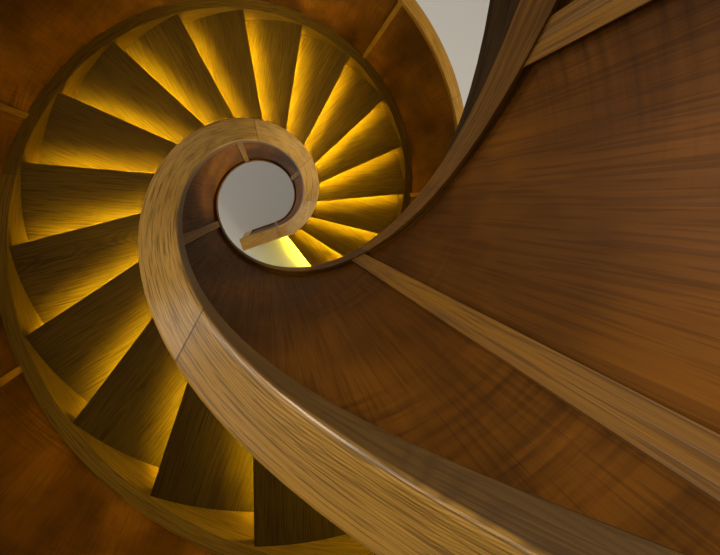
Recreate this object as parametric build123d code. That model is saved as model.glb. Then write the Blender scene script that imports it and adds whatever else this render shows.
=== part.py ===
from build123d import *
import math
import os

# Helical timber stair round a small open well.
# Millimetres, +Z up. The stair is built round its own axis with the lower floor at Z = 0,
# then everything is set so that the origin lies under the middle of the sole plate.
# A place along the stair is a step number: 0 is the lower floor's line, 1 the first riser.

# The flight
rise = 175.0
steps_per_turn = 19
tread_count = 25
first_azimuth = -52.1            # of the first riser, in degrees from +X

# Steps
nosing_overhang = 51.0
tread_thickness = 38.0
nosing_radius = 4.0
riser_thickness = 20.0
channel_width = 14.0
channel_height = 12.0
channel_wall = 2.0
lens_thickness = 2.0
lamps_short_of_wall = 62.0
lamps_short_of_well = 12.0

# Inner wall, round the well: radii from the axis and heights over the nosing line
well_radius = 204.0
inner_panel_face = 214.0
inner_panel_thickness = 46.0
inner_string_thickness = 20.0
bottom_rail_low = -73.0
bottom_rail_height = 74.0
shadow_gap = 6.0                 # the groove between the bottom rail's lip and the panels
shadow_depth = 10.0
inner_string_high = 128.0
inner_batten_proud = 8.0
inner_batten_width = 22.0
inner_battens = [5.7, 10.0, 14.9, 20.65, 24.0]
rail_inner_radius = 198.0
rail_width = 82.0
rail_top = 990.0
rail_depth = 83.0
rail_rounding = 9.0
rail_joints = [3.5, 5.9, 9.0, 16.5, 22.5]
foot_run = 260.0
end_post_width = 60.0

# Outer wall
outer_string_face = 998.0
string_ledge = 54.0
outer_string_high = 39.0
outer_panel_thickness = 30.0
outer_batten_proud = 9.0
outer_batten_width = 24.0
outer_bay = 2.82                 # steps between the joints of the outer panels
first_outer_batten = 3.82
outer_rail_width = 51.0
outer_rail_depth = 38.0
outer_rail_lip = 8.0
outer_rail_bevel = 4.0

# Underside and fixings
string_low = -256.0
sole_width = 32.0
sole_height = 63.0
hanger_thickness = 32.0
fit_gap = 0.3

# Lengths in which the winding pieces are made
outer_string_count = 4
outer_rail_count = 5
inner_string_count = 5
bottom_rail_count = 5
trim_allowance = 1.5

step_angle = 360.0 / steps_per_turn
top_step = tread_count + 1
inner_panel_back = inner_panel_face + inner_panel_thickness
tread_inner = inner_panel_back + fit_gap + inner_string_thickness + fit_gap
tread_outer = outer_string_face - fit_gap
outer_panel_face = outer_string_face + string_ledge
outer_panel_back = outer_panel_face + outer_panel_thickness
bottom_rail_high = bottom_rail_low + bottom_rail_height
rail_low = rail_top - rail_depth
outer_rail_low = rail_top - outer_rail_depth
sole_middle = (tread_inner + tread_outer) / 2
hanger_back = riser_thickness + hanger_thickness
reach = 2 * outer_panel_back     # farther out than any piece


def azimuth(step):
    """The direction of a place along the stair, in degrees from +X."""
    return first_azimuth + (step - 1) * step_angle


def steps_across(width, radius):
    """How many steps a width takes up along the stair at a radius."""
    return math.degrees(width / radius) / step_angle


def placed(shape, step, height=0.0):
    """Turns a shape made along +X to its step and lifts it."""
    return Pos(0, 0, height) * Rot(0, 0, azimuth(step)) * shape


def rectangle(inner, outer, low, high):
    """An upright rectangle in the plane of the axis."""
    return Plane.XZ * Pos((inner + outer) / 2, (low + high) / 2) * Rectangle(outer - inner, high - low)


def eased(outline, radius):
    """An outline with its corners rounded in three flats that touch the round."""
    first_cut = radius * (2 - math.sqrt(2))
    second_cut = radius * (math.sqrt(2) - 1 - math.tan(math.pi / 16))
    bevelled = chamfer(outline.vertices(), first_cut)
    return chamfer(bevelled.vertices(), second_cut)


def wound(profile, start, end):
    """An upright profile carried up the stair from one step to another."""
    path = Helix(steps_per_turn * rise, (end - start) * rise, outer_string_face)
    return placed(sweep(profile, path=path, is_frenet=True), start, start * rise)


def lowered(shape, height=0.0):
    """The part of a winding piece that is above a height over the lower floor."""
    return shape - Pos(0, 0, height - reach / 2) * Cylinder(reach, reach)


def trimmed(shape):
    """Cuts a piece at the top of the stair in the plane of the upper floor's edge."""
    beyond = Pos(reach / 2, hanger_back + reach / 2, 0) * Box(reach, reach, 2 * reach)
    return shape - placed(beyond, top_step, top_step * rise)


def spans(joints):
    """Pairs of neighbouring joints along the stair."""
    return list(zip(joints[:-1], joints[1:]))


def evenly(start, end, count):
    """Joints that divide a stretch of stair into equal lengths."""
    return [start + (end - start) * i / count for i in range(count + 1)]


def lengths_of(profile, radius, joints):
    """A long winding piece in lengths, with a hairline at each joint.

    The last length runs past the last riser and is cut at the upper floor's edge.
    """
    half_gap = steps_across(fit_gap, radius) / 2
    lengths = []
    for start, end in spans(joints):
        if end == joints[-1]:
            lengths.append(trimmed(wound(profile, start + half_gap, end + trim_allowance)))
        else:
            lengths.append(wound(profile, start + half_gap, end - half_gap))
    return lengths


def ring(low, high, inner, outer):
    """A round band about the stair's axis."""
    tall = Pos(0, 0, (low + high) / 2) * Cylinder(outer, high - low)
    return tall - Pos(0, 0, (low + high) / 2) * Cylinder(inner, 2 * (high - low))


def between_strings(low, high):
    """The round space between the two strings."""
    return ring(low, high, tread_inner, tread_outer)


def tread_plan():
    """The wedge between a nosing and the back of the next riser."""
    turn = math.radians(step_angle)
    along = (nosing_overhang + riser_thickness * math.cos(turn)) / math.sin(turn)
    apex_x = -along * math.cos(turn) - riser_thickness * math.sin(turn)
    apex = (apex_x, -nosing_overhang)
    front = (apex_x + reach, -nosing_overhang)
    back = (apex_x + reach * math.cos(turn), reach * math.sin(turn) - nosing_overhang)
    return Polygon(apex, front, back, align=None)


def rounded_nosing(board):
    """The two long edges of the nosing, eased."""
    near = nosing_overhang / 100
    front = board.edges().filter_by(Axis.X)
    front = front.filter_by_position(Axis.Y, -nosing_overhang - near, -nosing_overhang + near)
    return fillet(front, nosing_radius)


def tread():
    """One step's board, under its own top, made along +X."""
    wedge = extrude(tread_plan(), -tread_thickness)
    return rounded_nosing(between_strings(-tread_thickness, 0) & wedge)


def board_across(front, back, low, high):
    """A board across the stair between the strings, made along +X."""
    plank = Pos(tread_outer, (front + back) / 2, (low + high) / 2)
    plank = plank * Box(2 * tread_outer, back - front, high - low)
    return between_strings(low, high) & plank


def landing_nosing():
    """The board that edges the upper floor above the last riser."""
    return rounded_nosing(board_across(-nosing_overhang, hanger_back, -tread_thickness, 0))


def riser():
    """The board between two treads, under the top of its own step."""
    return board_across(0, riser_thickness, -rise, -tread_thickness)


def sole_plate():
    """The plank that holds the first riser to the floor, between the strings."""
    return board_across(riser_thickness, riser_thickness + sole_width, -rise, sole_height - rise)


def hanger_board():
    """The board behind the last riser that is fixed to the upper floor's edge."""
    return board_across(riser_thickness, hanger_back, string_low, -tread_thickness)


def under_nosing(section):
    """A section under a nosing, against the riser, carried along the step for its lamp."""
    start = tread_inner + lamps_short_of_well
    end = tread_outer - lamps_short_of_wall
    return Pos(start, 0, -tread_thickness) * extrude(Plane.YZ * section, end - start)


def lamp_channel():
    """The open channel that holds a step's lamp and shades it towards the front."""
    outline = Pos(-channel_width / 2, -channel_height / 2) * Rectangle(channel_width, channel_height)
    mouth = Rectangle(channel_width - 2 * channel_wall, channel_height)
    return under_nosing(outline - Pos(-channel_width / 2, -channel_height / 2 - channel_wall) * mouth)


def lamp_lens():
    """The lamp's flat lens, at the back of its channel."""
    section = Rectangle(channel_width - 2 * channel_wall - 2 * fit_gap, lens_thickness)
    return under_nosing(Pos(-channel_width / 2, -channel_wall - lens_thickness / 2) * section)


def repeated(first, bay):
    """The steps at which something comes again up the stair."""
    count = int((top_step - first) / bay) + 1
    return [first + i * bay for i in range(count)]


def outer_string():
    """The closed string that carries the treads' outer ends."""
    profile = rectangle(outer_string_face, outer_panel_back, string_low, outer_string_high)
    string = lengths_of(profile, outer_panel_face, evenly(0, top_step, outer_string_count))
    string[0] = lowered(string[0])
    return string


def outer_panels():
    """The veneered panels that stand on the outer string."""
    low = outer_string_high + fit_gap
    profile = rectangle(outer_panel_face, outer_panel_back, low, outer_rail_low - fit_gap)
    return lengths_of(profile, outer_panel_face, [0] + repeated(first_outer_batten, outer_bay) + [top_step])


def battens(face, proud, width, low, high, places):
    """Light strips over the joints of a wall's panels, whose ends follow the rails."""
    front = face - proud
    profile = rectangle(front, face - fit_gap, low + fit_gap, high - fit_gap)
    half = steps_across(width, front) / 2
    return [wound(profile, step - half, step + half) for step in [half] + places]


def outer_battens():
    """The outer wall's battens, on the side of the steps."""
    return battens(outer_panel_face, outer_batten_proud, outer_batten_width,
                   outer_string_high, outer_rail_low, repeated(first_outer_batten, outer_bay))


def outer_handrail():
    """The flat cap of the outer wall."""
    inner = outer_panel_face - outer_rail_lip
    outline = rectangle(inner, inner + outer_rail_width, outer_rail_low, rail_top)
    profile = chamfer(outline.vertices(), outer_rail_bevel)
    return lengths_of(profile, outer_panel_face, evenly(0, top_step, outer_rail_count))


def inner_string():
    """The closed string that carries the treads' inner ends."""
    inner = inner_panel_back + fit_gap
    profile = rectangle(inner, inner + inner_string_thickness, string_low, inner_string_high)
    string = lengths_of(profile, inner, evenly(0, top_step, inner_string_count))
    string[0] = lowered(string[0])
    return string


def well_panel(low):
    """The profile of a panel round the well, from a height up to the handrail."""
    return rectangle(inner_panel_face, inner_panel_back, low + fit_gap, rail_low - fit_gap)


def inner_panels():
    """The veneered panels round the well, on the bottom rail."""
    profile = well_panel(bottom_rail_high)
    panels = lengths_of(profile, inner_panel_face, [0] + inner_battens + [top_step])
    panels[0] = lowered(panels[0], bottom_rail_height + fit_gap)
    return panels


def well_battens():
    """The inner wall's battens, on the side of the well."""
    strips = battens(inner_panel_face, inner_batten_proud, inner_batten_width,
                     bottom_rail_high, rail_low, inner_battens)
    strips[0] = lowered(strips[0], bottom_rail_height + fit_gap)
    return strips


def inner_handrail():
    """The wide handrail over the inner wall, in short curved lengths."""
    outline = rectangle(rail_inner_radius, rail_inner_radius + rail_width, rail_low, rail_top)
    profile = eased(outline, rail_rounding)
    middle = rail_inner_radius + rail_width / 2
    rail = lengths_of(profile, middle, [0] + rail_joints + [top_step])
    return rail + [straight_on(profile, foot_run)]


def straight_on(profile, end, start=fit_gap):
    """An upright profile at the lower floor's line, carried straight on along the floor."""
    ahead = math.radians(azimuth(0) - 90)
    way = Vector(math.cos(ahead), math.sin(ahead), 0)
    turned = Rot(0, 0, azimuth(0)) * profile
    return Pos(*(way * start)) * extrude(turned, end - start, dir=way)


def bottom_rail_profile(low):
    """The bottom rail's section: a tall face with a dark groove behind its upper lip."""
    high = low + bottom_rail_height
    board = rectangle(well_radius, inner_panel_back, low, high)
    groove = rectangle(inner_panel_face - shadow_gap, inner_panel_face, high - shadow_depth, high)
    return board - groove


def bottom_rail():
    """The light rail under the inner panels: level on the floor, then winding up."""
    leaves_floor = -bottom_rail_low / rise
    joints = evenly(leaves_floor, top_step, bottom_rail_count)
    rail = lengths_of(bottom_rail_profile(bottom_rail_low), inner_panel_face, joints)
    on_floor = bottom_rail_profile(0)
    level = Rot(0, 0, azimuth(0)) * revolve(on_floor, Axis.Z, leaves_floor * step_angle)
    return rail + [level, straight_on(on_floor, foot_run - end_post_width - fit_gap)]


def foot_panel():
    """The short straight panel that runs on from the stair's foot."""
    return straight_on(well_panel(bottom_rail_height), foot_run - end_post_width - fit_gap)


def end_post():
    """The post that ends the inner wall on the floor."""
    profile = rectangle(rail_inner_radius + rail_rounding, rail_inner_radius + rail_width - rail_rounding,
                        0, rail_low - fit_gap)
    return straight_on(profile, foot_run, foot_run - end_post_width)


def on_steps(make, first, last):
    """One copy of a piece on each of a run of steps."""
    return [placed(make(), step, step * rise) for step in range(first, last + 1)]


def stair():
    """Every node of the stair, by name, about the stair's own axis."""
    nodes = {}
    for step in range(1, tread_count + 1):
        nodes[f"tread_{step:02d}"] = on_steps(tread, step, step)
    nodes["landing_nosing"] = on_steps(landing_nosing, top_step, top_step)
    nodes["risers"] = on_steps(riser, 1, top_step)
    nodes["lamp_channels"] = on_steps(lamp_channel, 1, top_step)
    nodes["lamp_lenses"] = on_steps(lamp_lens, 1, top_step)
    nodes["sole_plate"] = on_steps(sole_plate, 1, 1)
    nodes["hanger_board"] = on_steps(hanger_board, top_step, top_step)
    nodes["outer_string"] = outer_string()
    nodes["outer_panels"] = outer_panels()
    nodes["outer_battens"] = outer_battens()
    nodes["outer_handrail"] = outer_handrail()
    nodes["inner_string"] = inner_string()
    nodes["inner_panels"] = inner_panels()
    nodes["inner_battens"] = well_battens()
    nodes["inner_handrail"] = inner_handrail()
    nodes["bottom_rail"] = bottom_rail()
    nodes["foot_panel"] = [foot_panel()]
    nodes["end_post"] = [end_post()]
    return nodes


def sole_middle_place():
    """The middle of the sole plate's underside, which is the part's origin."""
    return placed(Pos(sole_middle, riser_thickness + sole_width / 2, 0), 1)


os.makedirs("parts", exist_ok=True)
to_origin = Pos(*(sole_middle_place().position * -1))
for name, solids in stair().items():
    shape = solids[0] if len(solids) == 1 else Compound(solids)
    export_step(to_origin * shape, f"parts/{name}.step")
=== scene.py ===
import bmesh
import bpy
import math
from mathutils import Euler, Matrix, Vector


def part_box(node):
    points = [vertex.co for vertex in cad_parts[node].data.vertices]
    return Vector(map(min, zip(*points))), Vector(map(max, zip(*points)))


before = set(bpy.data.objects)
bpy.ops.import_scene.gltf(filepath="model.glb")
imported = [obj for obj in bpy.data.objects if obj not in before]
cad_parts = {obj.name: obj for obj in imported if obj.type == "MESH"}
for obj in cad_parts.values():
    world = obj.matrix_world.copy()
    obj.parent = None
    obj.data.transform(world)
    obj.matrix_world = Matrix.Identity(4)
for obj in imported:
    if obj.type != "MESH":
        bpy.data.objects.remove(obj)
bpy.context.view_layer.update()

# The stair's own measures, in metres and degrees
rise = 0.175
steps_per_turn = 19
first_azimuth = -52.1
top_step = 26
pitch = rise * steps_per_turn
step_turn = math.tau / steps_per_turn
rail_low, rail_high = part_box("outer_handrail")
axis_x = (rail_low[0] + rail_high[0]) / 2
axis_y = (rail_low[1] + rail_high[1]) / 2

# Radius from the axis and height over the nosing line at which each winding piece runs
riser_line = (0.65, -0.10)
wall_string_line = (1.02, -0.10)
well_string_line = (0.27, -0.10)
bottom_rail_line = (0.21, -0.036)
well_rail_line = (0.24, 0.95)
wall_rail_line = (1.07, 0.97)
wall_panel_line = (1.05, 0.45)
wall_batten_line = (1.04, 0.45)
well_panel_line = (0.22, 0.45)
well_batten_line = (0.21, 0.45)
end_post_line = (0.24, 0.45)

# The straight run at the foot ends below this height
foot_top = 1.5

# How dark the joints are, how dark a rail's sides are painted as painted shade, and how soft the edge of that
# painted shade is
joint_stain = 0.7
painted_side_shade = 0.85
side_shade_blend = 0.008

# Steps at which lengths and panels meet
well_rail_joints = [0, 3.5, 5.9, 9.0, 16.5, 22.5]
well_battens = [5.7, 10.0, 14.9, 20.65, 24.0]
first_wall_batten = 3.82
wall_bay = 2.82


def azimuth(step):
    """The direction of a step from the stair's axis, in radians from +X."""
    return math.radians(first_azimuth + (step - 1) * 360 / steps_per_turn)


def nosing_start():
    """The height of the nosing line at +X, worked back from the first step."""
    return rise - pitch * math.radians(first_azimuth) / math.tau


# Shader nodes

def node(tree, kind, inputs=None, **settings):
    """Adds a shader node, sets it and fills or links its inputs."""
    made = tree.nodes.new(kind)
    for name, value in settings.items():
        setattr(made, name, value)
    for name, value in (inputs or {}).items():
        if isinstance(value, bpy.types.NodeSocket):
            tree.links.new(value, made.inputs[name])
        else:
            made.inputs[name].default_value = value
    return made


def calc(tree, operation, *values):
    """One step of arithmetic."""
    return node(tree, "ShaderNodeMath", dict(enumerate(values)), operation=operation).outputs[0]


def ramp(tree, value, low, high, to_low=0.0, to_high=1.0):
    """Spreads part of a value's range over another range."""
    return node(tree, "ShaderNodeMapRange", {"Value": value, "From Min": low, "From Max": high,
                                             "To Min": to_low, "To Max": to_high}).outputs[0]


def mix(tree, factor, under, over):
    """A mix of two colours."""
    made = node(tree, "ShaderNodeMix", data_type="RGBA")
    for position, value in ((0, factor), (6, under), (7, over)):
        if isinstance(value, bpy.types.NodeSocket):
            tree.links.new(value, made.inputs[position])
        else:
            made.inputs[position].default_value = value
    return made.outputs[2]


def vector(tree, x, y, z):
    """A vector from three values."""
    return node(tree, "ShaderNodeCombineXYZ", {"X": x, "Y": y, "Z": z}).outputs[0]


def stair_place(tree, middle_height, straight_radius):
    """Where a point is on the stair: angle gone round, height over the nosing line, radius.

    The short straight run at the foot goes on from the floor's line with the same measures.
    """
    point = node(tree, "ShaderNodeTexCoord").outputs["Object"]
    parts = node(tree, "ShaderNodeSeparateXYZ", {"Vector": point}).outputs
    x = calc(tree, "SUBTRACT", parts["X"], axis_x)
    y = calc(tree, "SUBTRACT", parts["Y"], axis_y)
    round_axis = calc(tree, "ARCTAN2", y, x)
    nosing_line = calc(tree, "MULTIPLY_ADD", round_axis, pitch / math.tau, nosing_start())
    over = calc(tree, "SUBTRACT", parts["Z"], nosing_line)
    height = calc(tree, "WRAP", over, middle_height + pitch / 2, middle_height - pitch / 2)
    climbed = calc(tree, "SUBTRACT", calc(tree, "SUBTRACT", parts["Z"], height), rise)
    turned = calc(tree, "MULTIPLY_ADD", climbed, math.tau / pitch, math.radians(first_azimuth))
    radius = calc(tree, "SQRT", calc(tree, "MULTIPLY_ADD", x, x, calc(tree, "MULTIPLY", y, y)))
    foot = azimuth(0)
    ahead = calc(tree, "SUBTRACT", calc(tree, "MULTIPLY", x, math.sin(foot)),
                 calc(tree, "MULTIPLY", y, math.cos(foot)))
    out = calc(tree, "ADD", calc(tree, "MULTIPLY", x, math.cos(foot)),
               calc(tree, "MULTIPLY", y, math.sin(foot)))
    straight = calc(tree, "MULTIPLY", calc(tree, "GREATER_THAN", ahead, 0.0),
                    calc(tree, "LESS_THAN", parts["Z"], foot_top))
    foot_turned = calc(tree, "MULTIPLY_ADD", ahead, -1 / straight_radius, foot)
    places = []
    for winding, level in ((turned, foot_turned), (height, parts["Z"]), (radius, out)):
        difference = calc(tree, "SUBTRACT", level, winding)
        places.append(calc(tree, "MULTIPLY_ADD", difference, straight, winding))
    return places


def lengths(tree, turned, joints):
    """Which length of a long piece a point is in, and how near a joint it is, in steps."""
    step = calc(tree, "MULTIPLY_ADD", turned, 1 / step_turn, 1 - math.radians(first_azimuth) / step_turn)
    count = 0.0
    nearest = 9.0
    for joint in joints:
        count = calc(tree, "ADD", calc(tree, "GREATER_THAN", step, joint), count)
        nearest = calc(tree, "MINIMUM", calc(tree, "ABSOLUTE", calc(tree, "SUBTRACT", step, joint)), nearest)
    return count, nearest


def along_the_winding(line, joints, joint_width=0.02, painted_shade_below=None):
    """Grain that runs up the stair with a rail or string made in lengths.

    A rail's sides can be painted darker below a given height, as painted shade, while its top keeps the plain
    colour.
    """
    radius, middle_height = line

    def place(tree):
        turned, height, out = stair_place(tree, middle_height, radius)
        slope = math.atan2(pitch, math.tau * radius)
        along = calc(tree, "MULTIPLY", turned, radius / math.cos(slope))
        across = calc(tree, "MULTIPLY_ADD", height, math.cos(slope), -middle_height * math.cos(slope))
        depth = calc(tree, "SUBTRACT", out, radius)
        count, nearest = lengths(tree, turned, joints)
        joint_stain_and_side_shade = ramp(tree, nearest, joint_width / 2, joint_width, joint_stain, 0)
        if painted_shade_below is not None:
            # Below that height a rail's sides are painted darker, as painted shade
            side = ramp(tree, height, painted_shade_below, painted_shade_below + side_shade_blend, painted_side_shade, 0)
            joint_stain_and_side_shade = calc(tree, "MAXIMUM", joint_stain_and_side_shade, side)
        return vector(tree, along, depth, across), count, joint_stain_and_side_shade
    return place


def upright(line, joints):
    """Grain that stands upright in panels and battens."""
    radius, middle_height = line

    def place(tree):
        turned, height, out = stair_place(tree, middle_height, radius)
        along = calc(tree, "MULTIPLY", turned, radius)
        nosing_line = calc(tree, "MULTIPLY_ADD", turned, pitch / math.tau, nosing_start())
        level = calc(tree, "ADD", nosing_line, height)
        count, nearest = lengths(tree, turned, joints)
        return vector(tree, level, along, calc(tree, "SUBTRACT", out, radius)), count, None
    return place


def across_the_stair(step):
    """Grain that runs along a tread's nosing."""
    def place(tree):
        point = node(tree, "ShaderNodeTexCoord").outputs["Object"]
        nosing = node(tree, "ShaderNodeVectorMath", {0: point, 1: (axis_x, axis_y, step * rise)},
                      operation="SUBTRACT").outputs[0]
        turn = (0, 0, azimuth(step))
        turned = node(tree, "ShaderNodeVectorRotate", {"Vector": nosing, "Rotation": turn},
                      rotation_type="EULER_XYZ", invert=True).outputs[0]
        return turned, None, None
    return place


def noise(tree, place, stretch, scale, detail=3.0, roughness=0.55):
    """Soft noise, drawn out along the grain by stretch."""
    spread = node(tree, "ShaderNodeMapping", {"Vector": place, "Scale": stretch}).outputs[0]
    return node(tree, "ShaderNodeTexNoise", {"Vector": spread, "Scale": scale, "Detail": detail,
                                             "Roughness": roughness}).outputs["Fac"]


def wood(name, place_of, colours, roughness=0.42, coat=0.0, contrast=1.0, seed=0.0, figure=0.0,
         ring_width=0.004, knots=0.0, shine=0.3):
    """Timber with growth rings, pores, knots and slow changes of tone.

    Figure adds ripples across the grain. Veneer has soft streaks in place of rings.
    """
    material = bpy.data.materials.new(name)
    material.use_nodes = True
    tree = material.node_tree
    shader = tree.nodes["Principled BSDF"]
    place, count, joint_stain_and_side_shade = place_of(tree)

    # Each piece, and each of its lengths, is cut from another part of the log and has its own tone
    shift = vector(tree, seed * 3.1, 0.09 * math.sin(7 * seed), 0.06 + 0.04 * math.cos(5 * seed))
    own_tone = 0.0
    if count is not None:
        own = node(tree, "ShaderNodeTexWhiteNoise", {"W": calc(tree, "ADD", count, seed)},
                   noise_dimensions="1D")
        shift = node(tree, "ShaderNodeVectorMath", {0: own.outputs["Color"], 1: (9, 0.05, 0.04), 2: shift},
                     operation="MULTIPLY_ADD").outputs[0]
        own_tone = calc(tree, "MULTIPLY_ADD", own.outputs["Value"], 0.16, -0.08)
    place = node(tree, "ShaderNodeVectorMath", {0: place, 1: shift}, operation="ADD").outputs[0]

    # The grain wanders slowly and swells round the knots
    wander = noise(tree, place, (1.1, 5, 5), 1.3, 2.0, 0.45)
    knot_cells = node(tree, "ShaderNodeMapping", {"Vector": place, "Scale": (2.2, 4.2, 4.2)}).outputs[0]
    to_knot = node(tree, "ShaderNodeTexVoronoi", {"Vector": knot_cells, "Scale": 1.0}).outputs["Distance"]
    swell = calc(tree, "MULTIPLY", ramp(tree, to_knot, 0.30, 0.0), 0.016 * knots)
    sway = calc(tree, "ADD", calc(tree, "MULTIPLY", wander, 0.045), swell)
    flat = node(tree, "ShaderNodeMapping", {"Vector": place, "Scale": (0.03, 1.0, 0.6)}).outputs[0]
    bent = node(tree, "ShaderNodeVectorMath", {0: flat, 1: vector(tree, 0.0, sway, sway)},
                operation="ADD").outputs[0]

    # Growth rings, or a veneer's soft streaks, bolder in some bands than in others
    if ring_width:
        ring_scale = 0.314 / ring_width
        rings = node(tree, "ShaderNodeTexWave", {"Vector": bent, "Scale": ring_scale, "Distortion": 2.0,
                                                 "Detail": 3.0, "Detail Scale": 1.6,
                                                 "Detail Roughness": 0.65},
                     wave_type="RINGS", rings_direction="X", wave_profile="SIN").outputs["Fac"]
        late_wood = ramp(tree, rings, 0.35, 1.0)
    else:
        late_wood = ramp(tree, noise(tree, place, (0.8, 38, 38), 1.5, 5.0, 0.62), 0.42, 0.72)
    bold = ramp(tree, noise(tree, place, (0.7, 9, 9), 1.9, 2.0, 0.5), 0.35, 0.68)
    line_strength = calc(tree, "MULTIPLY", late_wood, calc(tree, "MULTIPLY_ADD", bold, 0.5, 0.12))

    # Fibres about 4 mm apart, and open pores about 3 mm apart and 13 cm long
    fibre = noise(tree, place, (2.2, 130, 130), 2.0, 4.0, 0.65)
    pores = ramp(tree, noise(tree, place, (5, 240, 240), 1.5, 1.0, 0.5), 0.52, 0.62)

    dark, middle, light = colours
    tone = noise(tree, place, (0.9, 2.6, 2.6), 1.6, 2.0, 0.5)
    colour = mix(tree, ramp(tree, calc(tree, "ADD", tone, own_tone), 0.34, 0.66), middle, light)
    colour = mix(tree, calc(tree, "MULTIPLY", line_strength, contrast), colour, dark)
    fibre_strength = 0.42 if ring_width else 0.22
    colour = mix(tree, calc(tree, "MULTIPLY", ramp(tree, fibre, 0.38, 0.70), fibre_strength), colour, dark)
    colour = mix(tree, calc(tree, "MULTIPLY", pores, 0.75 * contrast), colour, dark)
    if figure:
        ripple = ramp(tree, noise(tree, place, (58, 6, 6), 1.2, 3.0, 0.6), 0.42, 0.70)
        patches = ramp(tree, noise(tree, place, (1.6, 2.2, 2.2), 2.0, 2.0, 0.5), 0.42, 0.62)
        strength = calc(tree, "MULTIPLY", calc(tree, "MULTIPLY", ripple, patches), figure)
        colour = mix(tree, strength, colour, dark)
        clouds = ramp(tree, noise(tree, place, (1.0, 1.8, 1.8), 2.6, 3.0, 0.55), 0.40, 0.62)
        colour = mix(tree, calc(tree, "MULTIPLY", clouds, 0.9 * figure), colour, dark)
    if knots:
        heart = ramp(tree, to_knot, 0.050, 0.018)
        colour = mix(tree, calc(tree, "MULTIPLY", heart, 0.85 * knots), colour, dark)
    # Dark joints, and the painted shade on a rail's sides
    if joint_stain_and_side_shade is not None:
        colour = mix(tree, joint_stain_and_side_shade, colour, dark)
    tree.links.new(colour, shader.inputs["Base Color"])

    # The finish is glossier between the fibres, and the lines and pores lie a little lower
    sheen = ramp(tree, fibre, 0.3, 0.75, roughness - 0.05, roughness + 0.10)
    tree.links.new(sheen, shader.inputs["Roughness"])
    shader.inputs["Specular IOR Level"].default_value = shine
    shader.inputs["Coat Weight"].default_value = coat
    shader.inputs["Coat Roughness"].default_value = 0.30
    relief = calc(tree, "ADD", calc(tree, "MULTIPLY", line_strength, 0.5), pores)
    bump = node(tree, "ShaderNodeBump", {"Height": relief, "Strength": 0.3 * contrast, "Distance": 0.0005})
    bump.invert = True
    tree.links.new(bump.outputs[0], shader.inputs["Normal"])
    return material


def paint(node_name, material):
    """Gives a CAD node its material."""
    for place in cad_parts[node_name].material_slots:
        place.material = material


def repeated(first, bay):
    """The steps at which a joint comes again up the stair."""
    return [first + i * bay for i in range(int((top_step - first) / bay) + 1)]


def evenly(count, start=0.0):
    """The steps of the joints between equal lengths."""
    return [start + (top_step - start) * i / count for i in range(1, count)]


# Colours as dark, middle and light, in linear light
tread_oak = ((0.018, 0.007, 0.001, 1), (0.054, 0.028, 0.002, 1), (0.080, 0.043, 0.003, 1))
rail_oak = ((0.055, 0.024, 0.003, 1), (0.385, 0.195, 0.026, 1), (0.580, 0.325, 0.070, 1))
lip_oak = ((0.045, 0.016, 0.002, 1), (0.180, 0.074, 0.004, 1), (0.260, 0.112, 0.008, 1))
batten_oak = ((0.050, 0.018, 0.002, 1), (0.210, 0.088, 0.005, 1), (0.290, 0.130, 0.009, 1))
pale_oak = ((0.110, 0.045, 0.005, 1), (0.330, 0.160, 0.016, 1), (0.430, 0.220, 0.026, 1))
string_oak = ((0.045, 0.019, 0.002, 1), (0.125, 0.062, 0.004, 1), (0.180, 0.092, 0.008, 1))
# Dark oak for the risers, also put on the inner string as painted shade
dark_oak_and_painted_shade = ((0.015, 0.007, 0.002, 1), (0.040, 0.020, 0.006, 1), (0.060, 0.032, 0.010, 1))
red_veneer = ((0.022, 0.007, 0.001, 1), (0.108, 0.034, 0.002, 1), (0.215, 0.074, 0.005, 1))
plain_pine = ((0.300, 0.190, 0.090, 1), (0.480, 0.350, 0.200, 1), (0.580, 0.440, 0.270, 1))

for step in range(1, top_step):
    # The treads' colour is scaled by step as painted light: the lower treads are painted lighter, which fades
    # out from step 5 to step 17, and from step 17 up they take 0.62 of tread_oak's colour
    painted_light_scale = 0.62 + 1.4 * min(1, max(0, (17 - step) / 12))
    painted_light_step_oak = [tuple(painted_light_scale * value for value in colour[:3]) + (1,) for colour in tread_oak]
    paint(f"tread_{step:02d}", wood(f"tread_oak_{step:02d}", across_the_stair(step), painted_light_step_oak,
                                    roughness=0.45, seed=step, contrast=0.9, knots=1.0, shine=0.04))
paint("landing_nosing", wood("landing_oak", across_the_stair(top_step), tread_oak, seed=0.4, contrast=0.7))
paint("risers", wood("riser_oak", along_the_winding(riser_line, []), dark_oak_and_painted_shade, seed=0.7))
paint("sole_plate", wood("sole_pine", across_the_stair(1), plain_pine, seed=0.2))
paint("hanger_board", wood("hanger_pine", across_the_stair(top_step), plain_pine, seed=0.3))
paint("outer_string", wood("outer_string_oak", along_the_winding(wall_string_line, evenly(4), 0.008),
                           string_oak, seed=1.3, contrast=0.8, shine=0.05))
# The whole inner string is given the dark colour as painted shade, for the unlit string below the bottom rail
paint("inner_string", wood("inner_string_painted_shade", along_the_winding(well_string_line, evenly(5)), dark_oak_and_painted_shade,
                           seed=1.9, shine=0.1))
paint("bottom_rail", wood("bottom_rail_oak", along_the_winding(bottom_rail_line, evenly(5, 0.41)), lip_oak,
                          contrast=0.7, seed=2.6, figure=0.7, shine=0.2))
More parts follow.
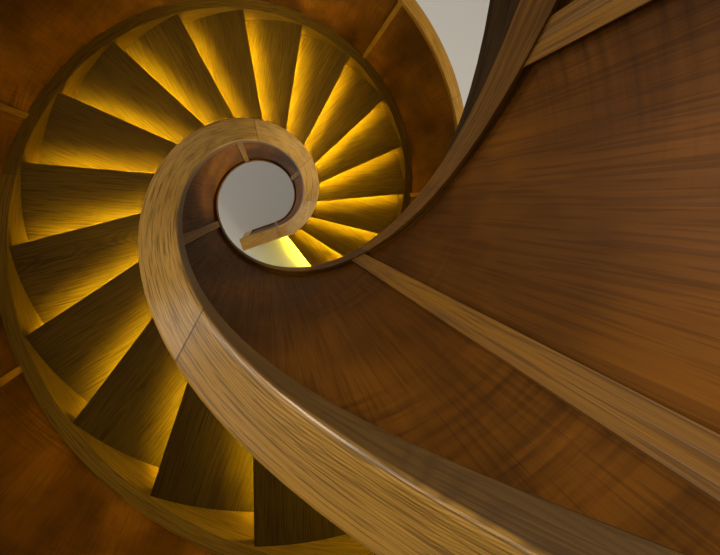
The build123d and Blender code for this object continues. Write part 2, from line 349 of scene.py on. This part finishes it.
# The inner handrail's sides are painted darker below its top, as painted shade
paint("inner_handrail", wood("inner_handrail_oak",
                             along_the_winding(well_rail_line, well_rail_joints, painted_shade_below=0.972), rail_oak,
                             roughness=0.40, coat=0.30, contrast=0.75, seed=3.1, ring_width=0.0024,
                             knots=0.7))
paint("outer_handrail", wood("outer_handrail_oak", along_the_winding(wall_rail_line, evenly(5), 0.006),
                             pale_oak, roughness=0.55, seed=3.7, contrast=0.8, shine=0.1))
paint("outer_battens", wood("outer_batten_oak", upright(wall_batten_line, []), batten_oak, seed=4.3,
                            contrast=0.7))
paint("inner_battens", wood("inner_batten_oak", upright(well_batten_line, []), batten_oak, seed=4.8,
                            contrast=0.7))
paint("end_post", wood("end_post_oak", upright(end_post_line, []), rail_oak, seed=5.2, contrast=0.7))
for name, line, joints in (("outer_panels", wall_panel_line, repeated(first_wall_batten, wall_bay)),
                           ("inner_panels", well_panel_line, well_battens),
                           ("foot_panel", well_panel_line, [])):
    paint(name, wood(f"{name}_veneer", upright(line, joints), red_veneer, roughness=0.44, coat=0.03,
                     contrast=0.4, seed=5.0 + line[0], figure=0.7, ring_width=None, shine=0.05))


def plain(name, colour, roughness, glow=None, strength=0.0):
    """An even material with a slight change of tone, which may give light."""
    material = bpy.data.materials.new(name)
    material.use_nodes = True
    tree = material.node_tree
    shader = tree.nodes["Principled BSDF"]
    point = node(tree, "ShaderNodeTexCoord").outputs["Object"]
    tone = noise(tree, point, (1, 1, 1), 40.0)
    darker = tuple(0.8 * value for value in colour[:3]) + (1,)
    tree.links.new(mix(tree, tone, darker, colour), shader.inputs["Base Color"])
    tree.links.new(ramp(tree, tone, 0.3, 0.7, roughness - 0.05, roughness + 0.05), shader.inputs["Roughness"])
    if glow:
        shader.inputs["Emission Color"].default_value = glow
        shader.inputs["Emission Strength"].default_value = strength
    return material


# The lamps under the nosings
lamp_light = (1.0, 0.86, 0.03, 1)
# The channels are no lamps: they glow weakly in the lamp's colour as painted light, which spreads the glow
# over the treads
paint("lamp_channels", plain("channel_brown", (0.05, 0.03, 0.02, 1), 0.5, lamp_light, 30.0))
paint("lamp_lenses", plain("lit_lens", (0.9, 0.7, 0.3, 1), 0.5, lamp_light, 600.0))

# Floor, light and camera
floor_half = 9
floor_shape = bmesh.new()
bmesh.ops.create_grid(floor_shape, x_segments=1, y_segments=1, size=floor_half)
floor_mesh = bpy.data.meshes.new("floor")
floor_shape.to_mesh(floor_mesh)
floor_shape.free()
floor = bpy.data.objects.new("floor", floor_mesh)
bpy.context.collection.objects.link(floor)
floor_paint = bpy.data.materials.new("floor_paint")
floor_paint.use_nodes = True
floor_shader = floor_paint.node_tree.nodes["Principled BSDF"]
floor_shader.inputs["Base Color"].default_value = (0.54, 0.52, 0.49, 1)
floor_shader.inputs["Roughness"].default_value = 0.8
floor_mesh.materials.append(floor_paint)

world = bpy.data.worlds.new("studio")
world.use_nodes = True
world.node_tree.nodes["Background"].inputs["Color"].default_value = (0.88, 0.82, 0.72, 1)
world.node_tree.nodes["Background"].inputs["Strength"].default_value = 0.26
bpy.context.scene.world = world


def area_light(name, place, target, size, power, colour):
    """A square soft light aimed at a point."""
    data = bpy.data.lights.new(name, "AREA")
    data.size = size
    data.energy = power
    data.color = colour
    lamp = bpy.data.objects.new(name, data)
    lamp.location = place
    lamp.rotation_euler = (Vector(target) - Vector(place)).to_track_quat("-Z", "Y").to_euler()
    bpy.context.collection.objects.link(lamp)


# Each light's place and aim are given from the stair's axis, with its size and power
warm_white = (1, 0.93, 0.82)
for name, (x, y, z), (aim_x, aim_y, aim_z), size, power in (
        ("overhead", (-0.6, 0.3, 7.6), (0, 0, 2.0), 1.6, 75),
        ("left", (-4.5, -0.6, 3.5), (0, 0, 4.0), 1.2, 50),
        ("sheen", (-3.4, 0.9, 1.5), (-0.3, -0.2, 4.1), 1.0, 90),
        ("back", (-3.0, 4.4, 5.0), (0, 0, 3.8), 2.0, 80),
        ("low", (3.6, -3.6, 3.6), (0, 0, 1.6), 3.2, 330)):
    area_light(name, (axis_x + x, axis_y + y, z), (axis_x + aim_x, axis_y + aim_y, aim_z), size, power,
               warm_white)

# The camera looks down the well from just over the upper floor
camera_height = 4.5960
camera_turn = (-5.88, -5.35, -0.10)
camera_data = bpy.data.cameras.new("camera")
camera_data.lens = 27.09
camera_data.sensor_width = 36
camera_data.clip_start = 0.01
camera_data.shift_x = 0.0614
camera_data.shift_y = -0.0257
camera = bpy.data.objects.new("camera", camera_data)
camera.location = (axis_x - 0.0105, axis_y - 0.0331, camera_height)
camera.rotation_euler = Euler([math.radians(angle) for angle in camera_turn])
bpy.context.collection.objects.link(camera)
bpy.context.scene.camera = camera
bpy.context.scene.view_settings.view_transform = "Standard"
